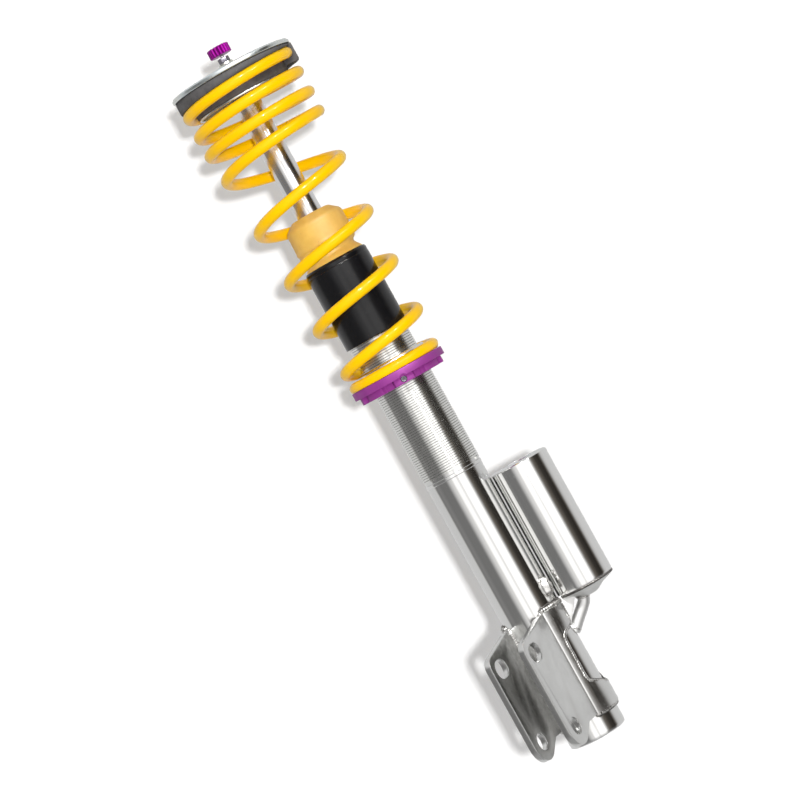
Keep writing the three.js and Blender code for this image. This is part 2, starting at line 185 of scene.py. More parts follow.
def handling():
    """Finger smudges, dust and specks: broad soft clouds, and small spots well apart."""
    group, given, out = new_group("handling", {"Size": 30.0}, ["Smudge", "Speck"])
    clouds = noise(group, given.outputs["Size"], 5.0, 0.6)
    spots = place(group, "ShaderNodeTexVoronoi", {"Vector": object_space(group), "Scale": 420.0})
    gate = spread(group, noise(group, 160.0, 1.0), 0.62, 0.7)
    near = spread(group, spots.outputs["Distance"], 0.22, 0.1)
    group.links.new(spread(group, clouds, 0.35, 0.7), out.inputs["Smudge"])
    group.links.new(maths(group, "MULTIPLY", gate, near), out.inputs["Speck"])
    return group


def edge_wear_and_crevice_shade():
    """Bright, rubbed edges, and painted shade in the corners, from how sharply the surface turns."""
    group, given, out = new_group("edge rubbing and crevice shade", {"Reach": 0.06}, ["Edge", "Crevice Shade"])
    bend = place(group, "ShaderNodeNewGeometry").outputs["Pointiness"]
    flat = 0.5
    edge = spread(group, bend, flat, maths(group, "ADD", flat, given.outputs["Reach"]))
    # the hollows, where the surface turns inwards, give the painted shade
    corner = spread(group, bend, flat, maths(group, "SUBTRACT", flat, given.outputs["Reach"]))
    patchy = spread(group, noise(group, 260.0), 0.3, 0.6, 0.35, 1.0)
    group.links.new(maths(group, "MULTIPLY", edge, patchy), out.inputs["Edge"])
    group.links.new(corner, out.inputs["Crevice Shade"])
    return group


TOOL_MARKS = tool_marks()
HANDLING = handling()
EDGE_WEAR_AND_SHADE = edge_wear_and_crevice_shade()


def effect(tree, group, **values):
    """Places a shared effect in a finish, with this finish's own values."""
    made = tree.nodes.new("ShaderNodeGroup")
    made.node_tree = group
    for key, value in values.items():
        made.inputs[key].default_value = value
    return made.outputs


def weighted(tree, *terms):
    """A sum of values, each times its own weight: the first term is a plain number."""
    total = terms[0]
    for value, weight in terms[1:]:
        total = maths(tree, "MULTIPLY_ADD", value, weight, total)
    return total


def layered(tree, base, *layers):
    """Lays colours over a base one by one: each layer is its mask, its share and its colour."""
    for mask, share, colour in layers:
        amount = mask if share == 1 else weighted(tree, 0.0, (mask, share))
        mix = place(tree, "ShaderNodeMix", data_type="RGBA")
        tree.links.new(amount, mix.inputs["Factor"])
        for socket, value in ((mix.inputs[6], base), (mix.inputs[7], colour)):
            if isinstance(value, bpy.types.NodeSocket):
                tree.links.new(value, socket)
            else:
                socket.default_value = (*value, 1)
        base = mix.outputs[2]
    return base


def dress(tree, main, colour, roughness, height, strength, depth_mm):
    """Feeds a finish's colour, its roughness and a relief of that depth to its main shader."""
    bump = place(tree, "ShaderNodeBump",
                 {"Height": height, "Strength": strength, "Distance": depth_mm * MM})
    tree.links.new(colour, main.inputs["Base Color"])
    tree.links.new(roughness, main.inputs["Roughness"])
    tree.links.new(bump.outputs["Normal"], main.inputs["Normal"])


def polished_steel(name, across=420.0, along=5.0, gloss=0.12, light=(0.85, 0.85, 0.84),
                   dark=(0.81, 0.81, 0.80), drawn=0.8):
    """Polished steel: fine marks, a faint cloudiness, smudges, rubbed edges, and painted shade in its
    hollows.

    Drawn says how far its polish runs round the strut, which smears reflections lengthways.
    """
    material, tree, main = finish(name, light, 1.0, gloss)
    marks = effect(tree, TOOL_MARKS, Across=across, Along=along)
    touch = effect(tree, HANDLING, Size=26.0)
    wear_and_shade = effect(tree, EDGE_WEAR_AND_SHADE, Reach=0.08)
    paler = [min(c * 1.08, 0.95) for c in light]
    # the last layer is painted shade: a near-black tint in the sharp hollows, such as the thread's roots
    colour = layered(tree, light, (marks["Tone"], 1, dark), (wear_and_shade["Edge"], 1, paler),
                     (wear_and_shade["Crevice Shade"], 0.6, (0.10, 0.09, 0.08)))
    rough = weighted(tree, gloss - 0.02, (marks["Mark"], 0.04), (touch["Smudge"], 0.05),
                     (touch["Speck"], 0.12))
    main.inputs["Anisotropic"].default_value = drawn
    main.inputs["Anisotropic Rotation"].default_value = 0.25
    dress(tree, main, colour, rough, marks["Mark"], 0.06, 0.008)
    return material


housing_steel = polished_steel("polished housing steel")

housing_profile = [
    (21.8, 0), (23.0, 0), (24.2, 0.9), (24.55, 2.6), (TUBE_R, 4.6), (TUBE_R, 237.9), (24.95, 238.4),
    (24.95, 240.6), (24.15, 240.9), (24.15, TUBE_TOP), (21.8, TUBE_TOP),
]
piece(turned(housing_profile, 128, 0.12), "housing", "housing", housing_steel,
      ["housing_tube"])


def cut_thread(root, crest, pitch, bottom, top, steps=48):
    """A right-hand thread: one turn of the tooth is wound, repeated up the tube and closed."""
    tooth = [(root, 0), (root, 0.16), (crest, 0.25), (crest, 0.91), (root, 1)]
    bm = bmesh.new()
    row = [bm.verts.new((r * MM, 0, (bottom + z * pitch) * MM)) for r, z in tooth]
    for a, b in zip(row, row[1:]):
        bm.edges.new((a, b))
    bmesh.ops.spin(bm, geom=bm.verts[:] + bm.edges[:], cent=(0, 0, 0), axis=(0, 0, 1),
                   dvec=(0, 0, pitch * MM / steps), angle=2 * math.pi, steps=steps)
    one_turn = bm.verts[:] + bm.edges[:] + bm.faces[:]
    for turn in range(1, int((top - bottom) / pitch) - 1):
        copied = bmesh.ops.duplicate(bm, geom=one_turn)["geom"]
        lifted = [v for v in copied if isinstance(v, bmesh.types.BMVert)]
        bmesh.ops.translate(bm, verts=lifted, vec=(0, 0, turn * pitch * MM))
    bmesh.ops.remove_doubles(bm, verts=bm.verts[:], dist=1e-5)
    rim = [e for e in bm.edges if e.is_boundary]
    sunk = bmesh.ops.extrude_edge_only(bm, edges=rim)["geom"]
    for v in sunk:
        if isinstance(v, bmesh.types.BMVert):
            v.co.xy *= (root - 0.5) * MM / v.co.xy.length
    bmesh.ops.recalc_face_normals(bm, faces=bm.faces[:])
    if sum(f.normal.dot(Vector((*f.calc_center_median().xy, 0))) for f in bm.faces) < 0:
        bmesh.ops.reverse_faces(bm, faces=bm.faces[:])
    return bm


thread_steel = polished_steel("threaded steel", gloss=0.2, light=(0.80, 0.80, 0.78),
                              dark=(0.72, 0.72, 0.70))
thread = cut_thread(THREAD_ROOT_R, THREAD_R, THREAD_PITCH, THREAD_START - 0.9, TUBE_TOP - 1)
piece(thread, "housing_thread", "housing", thread_steel, sharp=60)

foot_profile = [(0, 0), (18.6, 0), (19.4, 0.5), (21.5, 0.3), (21.5, 12), (0, 12)]
piece(turned(foot_profile, 96, 0.1), "foot_plug", "housing", housing_steel,
      ["bottom_plug"])

# ---- Reservoir ----
# A second polished tube beside the housing. Its cap is pressed in flush, and its shallow
# conical base is welded on all round and takes the oil in from below.
SIDE = math.radians(28)
RESERVOIR_AT = (49.8 * math.cos(SIDE), 49.8 * math.sin(SIDE))
RESERVOIR_R = 24.6
RESERVOIR_TOP = 223.4
RESERVOIR_FOOT = 112.0

reservoir_profile = [
    (21.6, RESERVOIR_FOOT), (23.4, RESERVOIR_FOOT), (24.3, RESERVOIR_FOOT + 0.7),
    (RESERVOIR_R, RESERVOIR_FOOT + 2.2), (RESERVOIR_R, RESERVOIR_TOP - 1.0),
    (RESERVOIR_R - 1.0, RESERVOIR_TOP), (21.6, RESERVOIR_TOP),
]
piece(turned(reservoir_profile, 128, 0.15, at=RESERVOIR_AT), "reservoir", "housing",
      housing_steel, ["reservoir_tube"])

cap_aluminium = polished_steel("machined aluminium", across=300.0, along=300.0, gloss=0.24,
                               light=(0.86, 0.87, 0.88), dark=(0.74, 0.75, 0.76), drawn=0.0)
cap_profile = [
    (0, 208), (21.3, 208), (21.3, 223.1), (20.6, 223.3), (12.6, 223.3), (12.0, 222.5), (5.6, 222.5),
    (5.0, 221.2), (2.4, 221.2), (2.0, 219.0), (0, 219.0),
]
piece(turned(cap_profile, 96, 0.12, at=RESERVOIR_AT), "reservoir_top_cap", "housing",
      cap_aluminium, ["reservoir_cap"])

base_profile = [
    (0, 102.3), (5.6, 102.4), (7.8, 103.2), (12.4, 106.0), (17.0, 107.9), (22.0, 109.6), (23.5, 110.6),
    (23.7, 111.6), (21.3, 111.7), (21.3, 118), (18, 118), (0, 112),
]
dull_steel = polished_steel("dull pressed steel", across=300.0, along=300.0, gloss=0.4,
                            light=(0.78, 0.78, 0.77), dark=(0.70, 0.70, 0.69), drawn=0.0)
piece(turned(base_profile, 96, 0.3, at=RESERVOIR_AT), "reservoir_cone", "housing",
      dull_steel, ["reservoir_base"])

# ---- Knuckle bracket ----
# Laser-cut steel plate: two ears that clamp the steering knuckle, and a saddle bent round
# the back of the housing with a window on the reservoir's side. Everything is welded.
EAR_INNER_X = 13.8
EAR_OUTER_X = 19.4
EAR_REACH = 77.7
BOLT_REACH = 62.0
LOWER_BOLT_Z = 23.5
UPPER_BOLT_Z = 89.1
SADDLE_R = 28.2
SADDLE_FOOT = 18.4
SADDLE_TOP = 109.4


def bracket_steel():
    """Cold-rolled plate, linished outside, with painted shade where the knuckle goes in: darker on the
    ears' facing sides, darkest towards their top.
    """
    material, tree, main = finish("bracket steel", (0.75, 0.75, 0.74), 1.0, 0.22)
    where = place(tree, "ShaderNodeSeparateXYZ", {0: object_space(tree)}).outputs
    marks = effect(tree, TOOL_MARKS, Across=260.0, Along=260.0)
    touch = effect(tree, HANDLING, Size=38.0)
    wear_and_shade = effect(tree, EDGE_WEAR_AND_SHADE, Reach=0.08)
    between = spread(tree, maths(tree, "ABSOLUTE", where["X"]), (EAR_INNER_X + 0.5) * MM,
                     (EAR_INNER_X + 0.1) * MM)
    in_front = spread(tree, where["Y"], -21 * MM, -23 * MM)
    pocket = maths(tree, "MULTIPLY", between, in_front)
    upward = spread(tree, where["Z"], 20 * MM, 105 * MM)
    # painted shade between the ears, deepening towards the top, laid over the pocket below
    pocket_shade = layered(tree, (0.34, 0.34, 0.33), (upward, 1, (0.20, 0.20, 0.19)))
    colour = layered(tree, (0.78, 0.78, 0.77), (marks["Tone"], 1, (0.70, 0.70, 0.69)),
                     (pocket, 1, pocket_shade), (touch["Smudge"], 0.15, (0.55, 0.54, 0.52)),
                     (wear_and_shade["Edge"], 0.6, (0.82, 0.82, 0.81)))
    rough = weighted(tree, 0.17, (marks["Mark"], 0.05), (touch["Smudge"], 0.06), (pocket, 0.12),
                     (touch["Speck"], 0.12))
    dress(tree, main, colour, rough, marks["Mark"], 0.12, 0.02)
    return material


plate_steel = bracket_steel()


def arc(centre, radius, start, end, count):
    """Points along an arc, in degrees."""
    angles = [math.radians(start + (end - start) * i / count) for i in range(count + 1)]
    return [(centre[0] + radius * math.cos(a), centre[1] + radius * math.sin(a)) for a in angles]


def polar(radius, turn, height):
    """A point by its distance from the strut's axis, its turn round it and its height."""
    return Vector((radius * math.cos(turn), radius * math.sin(turn), height)) * MM


def sheet_blank(outline, holes=()):
    """A flat blank in the XZ plane, cut out along its outline and its holes."""
    bm = bmesh.new()
    edges = []
    for loop in (outline, *holes):
        corners = [bm.verts.new((x * MM, 0, z * MM)) for x, z in loop]
        edges += [bm.edges.new(pair) for pair in zip(corners, corners[1:] + corners[:1])]
    bmesh.ops.triangle_fill(bm, use_beauty=True, use_dissolve=True, edges=edges, normal=(0, -1, 0))
    return bm


def push_out(bm, faces, shift):
    """Extrudes faces by a shift in millimetres and gives back the faces that moved."""
    grown = bmesh.ops.extrude_face_region(bm, geom=faces)["geom"]
    moved = [part for part in grown if isinstance(part, bmesh.types.BMVert)]
    bmesh.ops.translate(bm, verts=moved, vec=Vector(shift) * MM)
    return [part for part in grown if isinstance(part, bmesh.types.BMFace)]


def ease_edges(bm, offset, angle=50, segments=2):
    """Rounds the edges where two faces meet at more than the angle."""
    bmesh.ops.recalc_face_normals(bm, faces=bm.faces[:])
    sharp = [e for e in bm.edges if len(e.link_faces) == 2
             and e.calc_face_angle(0) > math.radians(angle)]
    bmesh.ops.bevel(bm, geom=sharp, offset=offset * MM, offset_type="OFFSET", affect="EDGES",
                    segments=segments, profile=0.5, material=-1, clamp_overlap=True)
    bmesh.ops.recalc_face_normals(bm, faces=bm.faces[:])


def ear_plate(side):
    """One ear: cut flat, turned to its side of the strut, its rear edge fitted to the tube."""
    lobe = EAR_REACH - BOLT_REACH
    corner_r = 9.5
    slot_r, slot_half = 7.7, 2.3
    outline = [(17.0, SADDLE_FOOT + 0.2), (38.6, SADDLE_FOOT + 0.2)]
    outline += arc((BOLT_REACH, LOWER_BOLT_Z), lobe, -119, 0, 22)
    outline += arc((EAR_REACH - corner_r, 92.4), corner_r, 0, 79, 12)
    outline += [(29, 109.2), (17.0, 109.3)]
    slot = arc((BOLT_REACH + slot_half, UPPER_BOLT_Z), slot_r, -90, 90, 18)
    slot += arc((BOLT_REACH - slot_half, UPPER_BOLT_Z), slot_r, 90, 270, 18)
    round_hole = arc((BOLT_REACH, LOWER_BOLT_Z), 7.3, 0, 360, 40)[:-1]
    bm = sheet_blank(outline, [slot, round_hole])
    push_out(bm, bm.faces[:], (0, EAR_OUTER_X - EAR_INNER_X, 0))
    ease_edges(bm, 0.45)
    stand = Matrix(((0, 1, 0), (-1, 0, 0), (0, 0, 1))).to_4x4()
    shift = EAR_INNER_X if side > 0 else -EAR_OUTER_X
    bmesh.ops.transform(bm, matrix=Matrix.Translation((shift * MM, 0, 0)) @ stand, verts=bm.verts[:])
    for v in bm.verts:
        if v.co.y > -20.0 * MM:
            v.co.y = -math.sqrt(max((TUBE_R - 0.2) ** 2 - (v.co.x / MM) ** 2, 1.0)) * MM
    return bm


for side, label in ((1, "right"), (-1, "left")):
    piece(ear_plate(side), "knuckle_ear_" + label, "housing", plate_steel,
          ["ear_" + label])


def saddle_plate():
    """The saddle's blank, laid flat as arc length by height, then bent round the tube."""
    per_degree = math.radians(1) * SADDLE_R
    corners = [
        (-46.5, SADDLE_FOOT), (226.5, SADDLE_FOOT), (226.5, SADDLE_TOP), (62, SADDLE_TOP), (62, 46),
        (50, 36), (30, 34.5), (8, 36.5), (-16, 41), (-33, 43.5), (-33, 86), (-24, 88.5), (-4, 90.5),
        (2, 95), (2, SADDLE_TOP), (-46.5, SADDLE_TOP),
    ]
    bm = bmesh.new()
    loop = [bm.verts.new((a * per_degree * MM, 0, z * MM)) for a, z in corners]
    for a, b in zip(loop, loop[1:] + loop[:1]):
        bm.edges.new((a, b))
    eased = [v for v in loop if -46 < v.co.x / (per_degree * MM) < 63]
    bmesh.ops.bevel(bm, geom=eased, offset=3.2 * MM, affect="VERTICES", segments=5, profile=0.5,
                    material=-1)
    bmesh.ops.triangle_fill(bm, use_beauty=True, use_dissolve=True, edges=bm.edges[:],
                            normal=(0, -1, 0))
    for degree in range(-44, 226, 3):
        bmesh.ops.bisect_plane(bm, geom=bm.verts[:] + bm.edges[:] + bm.faces[:], dist=1e-7,
                               plane_co=(degree * per_degree * MM, 0, 0), plane_no=(1, 0, 0))
    bmesh.ops.recalc_face_normals(bm, faces=bm.faces[:])
    push_out(bm, bm.faces[:], (0, -1, 0))
    for v in bm.verts:
        radius = SADDLE_R if v.co.y < -0.5 * MM else TUBE_R + 0.1
        v.co = polar(radius, math.radians(v.co.x / (per_degree * MM)), v.co.z / MM)
    ease_edges(bm, 0.5)
    return bm


piece(saddle_plate(), "bracket_wrap", "housing", plate_steel, ["bracket_saddle"])

# ---- Oil pipe, gusset and weld plug ----
# A short steel pipe leads the oil from the housing into the reservoir's cone. A small
# gusset backs it, and a plug weld higher up ties the two tubes together.


def beside(distance, height, off=0.0):
    """A point in the plane of the two tubes' axes, at that distance from the strut's axis."""
    across = Vector((math.cos(SIDE), math.sin(SIDE), 0))
    front = Vector((math.sin(SIDE), -math.cos(SIDE), 0))
    return (across * distance + front * off + Vector((0, 0, height))) * MM


def along(name, points, radii, rounding=8, closed=False):
    """A round bar along a smooth path, with a radius at each point, as a mesh with closed ends."""
    curve = bpy.data.curves.new(name, "CURVE")
    curve.dimensions = "3D"
    curve.bevel_depth = 1.0
    curve.bevel_resolution = rounding // 2
    curve.use_fill_caps = not closed
    spline = curve.splines.new("POLY")
    spline.points.add(len(points) - 1)
    for spot, place_at, radius in zip(spline.points, points, radii):
        spot.co = (*place_at, 1)
        spot.radius = radius * MM
    spline.use_cyclic_u = closed
    holder = bpy.data.objects.new(name, curve)
    mesh = bpy.data.meshes.new_from_object(holder)
    bm = bmesh.new()
    bm.from_mesh(mesh)
    bpy.data.objects.remove(holder)
    bpy.data.curves.remove(curve)
    bpy.data.meshes.remove(mesh)
    bmesh.ops.remove_doubles(bm, verts=bm.verts[:], dist=1e-7)
    bmesh.ops.recalc_face_normals(bm, faces=bm.faces[:])
    return bm


pipe_path = [beside(44.0, 104.6), beside(41.5, 99.6), beside(38.0, 96.0), beside(31.0, 89.7),
             beside(23.0, 82.5)]
piece(along("pipe", pipe_path, [5.2, 5.1, 5.1, 5.1, 5.4], 12), "reservoir_oil_pipe", "housing",
      dull_steel, ["oil_pipe"])

gusset_outline = [(23.8, 89.2), (25.6, 91.6), (37.1, 107.4), (31.0, 110.5), (26.2, 113.2), (23.8, 113.6)]
GUSSET_OFF = 5.4
GUSSET_THICK = 3
gusset_bm = sheet_blank(gusset_outline)
push_out(gusset_bm, gusset_bm.faces[:], (0, -GUSSET_THICK, 0))
ease_edges(gusset_bm, 0.5)
aside = Matrix.Rotation(SIDE, 4, "Z") @ Matrix.Translation((0, -GUSSET_OFF * MM, 0))
bmesh.ops.transform(gusset_bm, matrix=aside, verts=gusset_bm.verts[:])
piece(gusset_bm, "oil_pipe_gusset", "housing", dull_steel, ["pipe_gusset"])


def weld_lump():
    """The plug weld: a flattened ball with a slow ripple, laid in the gap between the tubes."""
    half_width, half_depth, half_height = 5.6, 4.4, 8.2
    bm = bmesh.new()
    bmesh.ops.create_icosphere(bm, subdivisions=4, radius=1.0)
    for v in bm.verts:
        x, y, z = v.co
        ripple = 1 + 0.05 * math.sin(9 * z + 2 * x) + 0.03 * math.sin(7 * x - 5 * y)
        v.co = Vector((x * half_width, y * half_depth, z * half_height)) * ripple * MM
    lie = Matrix.Translation(beside(20.4, 126, 15.6)) @ Matrix.Rotation(SIDE, 4, "Z")
    bmesh.ops.transform(bm, matrix=lie, verts=bm.verts[:])
    return bm


def weld_metal(name, bright, dull, gloss):
    """A weld left as laid: rippled, bright in places, dull and sooty in others."""
    material, tree, main = finish(name, bright, 1.0, gloss)
    lumps = noise(tree, 600.0)
    heat = noise(tree, 130.0, 2.0)
    marks = effect(tree, TOOL_MARKS, Across=300.0, Along=300.0)
    colour = layered(tree, bright, (spread(tree, heat, 0.42, 0.58), 1, dull),
                     (spread(tree, lumps, 0.6, 0.75, 0.0, 0.5), 1, (0.16, 0.13, 0.10)))
    rough = weighted(tree, gloss - 0.1, (lumps, 0.15), (marks["Mark"], 0.05))
    dress(tree, main, colour, rough, lumps, 0.6, 0.3)
    return material


weld = weld_metal("weld bead", (0.84, 0.83, 0.81), (0.56, 0.55, 0.53), 0.28)
# the dark weld finish is painted shade beside the bright beads, with the weld's soot in it
soot_and_shade = weld_metal("dark weld, soot and painted shade", (0.22, 0.21, 0.20), (0.10, 0.095, 0.09), 0.4)
piece(weld_lump(), "tube_plug_weld", "housing", weld, ["weld_plug"])


def weld_bead(name, route, radius, closed=False, metal=weld, spacing=0.6):
    """A bead laid along a route: points every fraction of a millimetre, with a welder's ripple."""
    points = []
    for a, b in zip(route, route[1:] + (route[:1] if closed else [])):
        count = max(int((b - a).length / (spacing * MM)), 1)
        points += [a.lerp(b, i / count) for i in range(count)]
    if not closed:
        points.append(route[-1])
    radii = []
    for i in range(len(points)):
        ripple = 1 + 0.1 * math.sin(i * 1.9) + 0.05 * math.sin(i * 0.41) + 0.03 * math.sin(i * 0.13 + 1)
        fade = 1.0 if closed else min(1.0, 0.45 + i / 5, 0.45 + (len(points) - 1 - i) / 5)
        radii.append(radius * ripple * fade)
    return piece(along(name, points, radii, 8, closed), name, "housing", metal, sharp=80)


def welded_seam(name, route, radius):
    """A bead with painted shade along it: a darker, wider bead, set deeper, shows on both sides of it."""
    weld_bead(name, route, radius)
    deeper = [p - Vector((p.x, p.y, 0)).normalized() * 0.55 * MM for p in route]
    weld_bead(name + "_edge", deeper, radius * 1.2, metal=soot_and_shade)


def round_tube(radius, height, start, end, count=60):
    """Route round the housing at one height, from one angle to another, in degrees."""
    return [Vector((x * MM, y * MM, height * MM)) for x, y in arc((0, 0), radius, start, end, count)]


SEAM_R = 25.4
for name, height, start, end, count, radius in (
    ("weld_wrap_top_right", SADDLE_TOP + 1.5, -50, 12, 20, 2.5),
    ("weld_wrap_top_left", SADDLE_TOP + 1.5, 61, 224, 40, 2.4),
    ("weld_wrap_foot", SADDLE_FOOT - 0.7, -50, 230, 70, 2.1),
):
    welded_seam(name, round_tube(SEAM_R, height, start, end, count), radius)
# the edge of the saddle's window: degrees round the strut, and height
WINDOW = [
    (2, SADDLE_TOP), (2, 97), (-1, 92.6), (-6, 90.6), (-22, 88.8), (-31, 85.5), (-33, 81), (-33.4, 50),
    (-31, 44.5), (-16, 41.0), (8, 36.6), (30, 34.6), (50, 36.2), (60, 44), (62, 60), (62, SADDLE_TOP),
]
welded_seam("weld_wrap_window", [polar(26.5, math.radians(turn), z) for turn, z in WINDOW], 2.0)
for side, label in ((1, "right"), (-1, "left")):
    inner_corner = Vector((side * (EAR_INNER_X - 0.3), -20.6, 0)) * MM
    rise = [inner_corner + Vector((0, 0, z * MM)) for z in (19, 50, 80, 109)]
    weld_bead("weld_ear_inside_" + label, rise, 1.3)
    shoulder = [Vector((side * x, y, 109.2)) * MM
                for x, y in ((13.9, -20.6), (16.6, -19.0), (19.2, -16.6))]
    weld_bead("weld_ear_top_" + label, shoulder, 1.5)
reservoir_ring = [Vector(((RESERVOIR_AT[0] + x) * MM, (RESERVOIR_AT[1] + y) * MM, 111.6 * MM))
                  for x, y in arc((0, 0), 23.4, 0, 360, 90)[:-1]]
# the cone's ring takes the dark weld finish: soot and painted shade in the joint
weld_bead("weld_reservoir_cone", reservoir_ring, 1.1, closed=True, metal=soot_and_shade)


def collar_route(centre, axis, radius, count=24):
    """A ring route about an axis, such as the foot of a pipe."""
    side_a = axis.orthogonal().normalized()
    side_b = axis.cross(side_a).normalized()
    return [centre + (side_a * math.cos(t) + side_b * math.sin(t)) * radius * MM
            for t in (2 * math.pi * i / count for i in range(count))]


pipe_axis = (pipe_path[-1] - pipe_path[-2]).normalized()
weld_bead("weld_pipe_foot", collar_route(beside(25.2, 84.5), pipe_axis, 4.9), 0.9, closed=True)
pipe_head = collar_route(beside(42.8, 103.6), Vector((0.35, 0, 1)), 5.2)
weld_bead("weld_pipe_head", pipe_head, 0.8, closed=True)
tie_edge = [beside(*spot) for spot in ((17.8, 118, 17.0), (16.8, 122, 17.9), (16.6, 128, 18.1),
                                       (17.6, 134, 17.3))]
weld_bead("weld_plug_edge", tie_edge, 0.9)

# ---- Damper internals ----
# The pieces inside the housing, the rod and the reservoir stay as machined: bright steel
# and aluminium, phosphated valve parts and black seals. None of them shows from outside.
phosphated = polished_steel("phosphated steel", across=200.0, along=200.0, gloss=0.5,
                            light=(0.20, 0.20, 0.21), dark=(0.12, 0.12, 0.13), drawn=0.0)
pressure_steel = polished_steel("honed pressure tube", across=60.0, along=60.0)


def black_seal():
    """Moulded nitrile: nearly black, a little greasy, with a faint grain."""
    material, tree, main = finish("black seal rubber", (0.02, 0.02, 0.02), 0.0, 0.5)
    marks = effect(tree, TOOL_MARKS, Across=500.0, Along=500.0)
    touch = effect(tree, HANDLING, Size=60.0)
    colour = layered(tree, (0.014, 0.014, 0.015), (touch["Smudge"], 1, (0.03, 0.029, 0.028)))
    dress(tree, main, colour, weighted(tree, 0.38, (marks["Mark"], 0.15)), marks["Mark"], 0.2, 0.05)
    return material


seal_rubber = black_seal()
for material, names in (
    (phosphated, ["base_valve", "gland_nut", "rebound_shims", "compression_shims", "piston_nut"]),
    (pressure_steel, ["pressure_tube"]),
    (cap_aluminium, ["rod_guide", "divider_piston", "damper_piston"]),
    (seal_rubber, ["rod_seal", "rod_wiper", "divider_ring", "rebound_stop", "piston_band"]),
):
    for name in names:
        node_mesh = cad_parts[name].data
        node_mesh.materials.clear()
        node_mesh.materials.append(material)

# ---- Lower perch ----
# An aluminium collar, purple anodised, runs on the housing's thread. Its lower half is
# castellated for a hook spanner, and a set screw in one lug locks it. A polished steel
# ring stands on it and centres the spring.
COLLAR_TOP = 334.2
COLLAR_R = 40.5
COLLAR_STEP = 327.8
COLLAR_FOOT = 322.2
BORE_R = 25.3
LUG_R = 36.7
NOTCH_R = 33.0
SCREW_TURN = math.radians(-59)
SCREW_Z = 325.7


def anodised(name, light, dark, gloss, metallic=0.3):
    """Dyed, anodised aluminium: fine turning rings under the colour, paler along its edges."""
    material, tree, main = finish(name, light, metallic, gloss)
    marks = effect(tree, TOOL_MARKS, Across=400.0, Along=60.0)
    touch = effect(tree, HANDLING, Size=40.0)
    wear_and_shade = effect(tree, EDGE_WEAR_AND_SHADE, Reach=0.09)
    paler = [min(c * 1.5, 0.8) for c in light]
    colour = layered(tree, light, (marks["Tone"], 1, dark), (touch["Smudge"], 0.25, dark),
                     (wear_and_shade["Edge"], 0.25, paler))
    rough = weighted(tree, gloss, (marks["Mark"], 0.08), (touch["Smudge"], 0.07),
                     (touch["Speck"], 0.15))
    dress(tree, main, colour, rough, marks["Mark"], 0.15, 0.03)
    return material


def castellated_ring():
    """The collar's lower half, as one outline of eight lugs with round-cornered notches."""
    count = 8
    lug = 27.0
    step = 360 / count
    flank_r = NOTCH_R + 1.6
    plan = []
    for k in range(count):
        start = math.degrees(SCREW_TURN) + step * k - lug / 2
        plan += [(LUG_R, start + lug * i / 6) for i in range(7)]
        plan += [(flank_r, start + lug + 0.5), (NOTCH_R, start + lug + 3.2),
                 (NOTCH_R, start + (lug + step) / 2), (NOTCH_R, start + step - 3.2),
                 (flank_r, start + step - 0.5)]
    bm = bmesh.new()
    outer = [bm.verts.new(polar(radius, math.radians(turn), COLLAR_FOOT)) for radius, turn in plan]
    inner = [bm.verts.new(polar(BORE_R, math.radians(turn), COLLAR_FOOT)) for _, turn in plan]
    rims = [bm.edges.new(pair) for loop in (outer, inner) for pair in zip(loop, loop[1:] + loop[:1])]
    bmesh.ops.bridge_loops(bm, edges=rims)
    push_out(bm, bm.faces[:], (0, 0, COLLAR_STEP - COLLAR_FOOT + 0.4))
    ease_edges(bm, 0.35, 45)
    return bm


def cut_away(target, tool_bm):
    """Cuts a tool's shape out of a piece and keeps the result as its plain mesh."""
    tool = into_scene("tool", mesh_of(tool_bm, "tool"))
    cut = target.modifiers.new("cut", "BOOLEAN")
    cut.object = tool
    cut.operation = "DIFFERENCE"
    cut.solver = "EXACT"
    bpy.context.view_layer.update()
    left = target.evaluated_get(bpy.context.evaluated_depsgraph_get())
    result = bpy.data.meshes.new_from_object(left)
    target.modifiers.clear()
    target.data = result
    smooth(result)
    bpy.data.objects.remove(tool)


def lay_across(bm, radius, height):
    """Turns an upright blank onto the set screw's line, its origin at that radius and height."""
    lie = Matrix.Rotation(SCREW_TURN, 4, "Z") @ Matrix.Translation((radius * MM, 0, height * MM))
    bmesh.ops.transform(bm, matrix=lie @ Matrix.Rotation(math.pi / 2, 4, "Y"), verts=bm.verts[:])
    return bm


def radial_drill(radius, inner, height):
    """A cutter for the set screw's hole, from a radius out past the collar."""
    outer = COLLAR_R + 4
    bm = bmesh.new()
    bmesh.ops.create_cone(bm, cap_ends=True, segments=40, radius1=radius * MM, radius2=radius * MM,
                          depth=(outer - inner) * MM)
    return lay_across(bm, (inner + outer) / 2, height)


purple = anodised("purple anodising", (0.33, 0.045, 0.30), (0.27, 0.03, 0.25), 0.42)
flange_profile = [(BORE_R, COLLAR_STEP), (COLLAR_R, COLLAR_STEP), (COLLAR_R, COLLAR_TOP),
                  (BORE_R, COLLAR_TOP)]
collar = piece(turned(flange_profile, 144, 0.45), "perch_flange", "collar", purple)
cut_away(collar, radial_drill(3.9, LUG_R - 0.1, SCREW_Z + 0.3))
lugs = piece(castellated_ring(), "perch_lugs", "collar", purple, ["perch_collar"])
cut_away(lugs, radial_drill(2.75, 27, SCREW_Z))

chrome_plate = polished_steel("bright plated steel", across=300.0, along=40.0, gloss=0.2,
                              light=(0.84, 0.84, 0.83), dark=(0.76, 0.76, 0.75), drawn=0.5)
dark_plate = polished_steel("dark plated steel", across=260.0, along=260.0, gloss=0.28,
                            light=(0.20, 0.19, 0.22), dark=(0.12, 0.11, 0.14), drawn=0.0)


